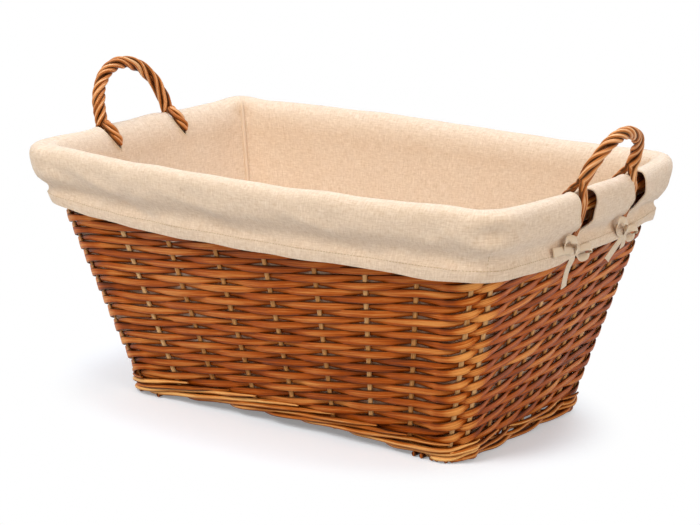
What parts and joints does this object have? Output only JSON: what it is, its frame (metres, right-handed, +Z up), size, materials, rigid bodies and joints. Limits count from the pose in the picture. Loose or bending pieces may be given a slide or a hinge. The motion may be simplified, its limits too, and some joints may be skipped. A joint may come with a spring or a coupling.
{
  "type": "lined willow laundry basket",
  "caption": "Flared oblong laundry basket of woven willow with roped end handles and a cloth lining that folds over the rim and ties at slits below the handles.",
  "frame": {"origin": "on the floor, under the middle of the basket", "axes": "+Z up, +X along the length towards the handle that leans out further, +Y across, away from the front long side"},
  "size_m": [0.6761, 0.4178, 0.3458],
  "materials": {
    "willow_strip": "stained and lightly varnished",
    "willow_stake": "stained and lightly varnished",
    "willow_rod": "stained and lightly varnished",
    "lining_cloth": "plain woven linen cotton",
    "tie_tape": "plain woven cotton tape"
  },
  "bodies": {
    "root": {"stakes_front": "willow_stake", "weave_front": "willow_strip", "foot_band_front": "willow_rod", "border_front": "willow_rod", "lining_front": "lining_cloth", "stakes_back": "willow_stake", "weave_back": "willow_strip", "foot_band_back": "willow_rod", "border_back": "willow_rod", "lining_back": "lining_cloth", "stakes_left": "willow_stake", "weave_left": "willow_strip", "foot_band_left": "willow_rod", "border_left": "willow_rod", "lining_left": "lining_cloth", "stakes_right": "willow_stake", "weave_right": "willow_strip", "foot_band_right": "willow_rod", "border_right": "willow_rod", "lining_right": "lining_cloth", "floor_rods": "willow_rod", "base_sticks": "willow_stake", "base_weave": "willow_strip", "lining_floor": "lining_cloth", "handle_left": "willow_rod", "bow_left_front": "tie_tape", "bow_left_back": "tie_tape", "handle_right": "willow_rod", "bow_right_front": "tie_tape", "bow_right_back": "tie_tape"}
  },
  "joints": []
}
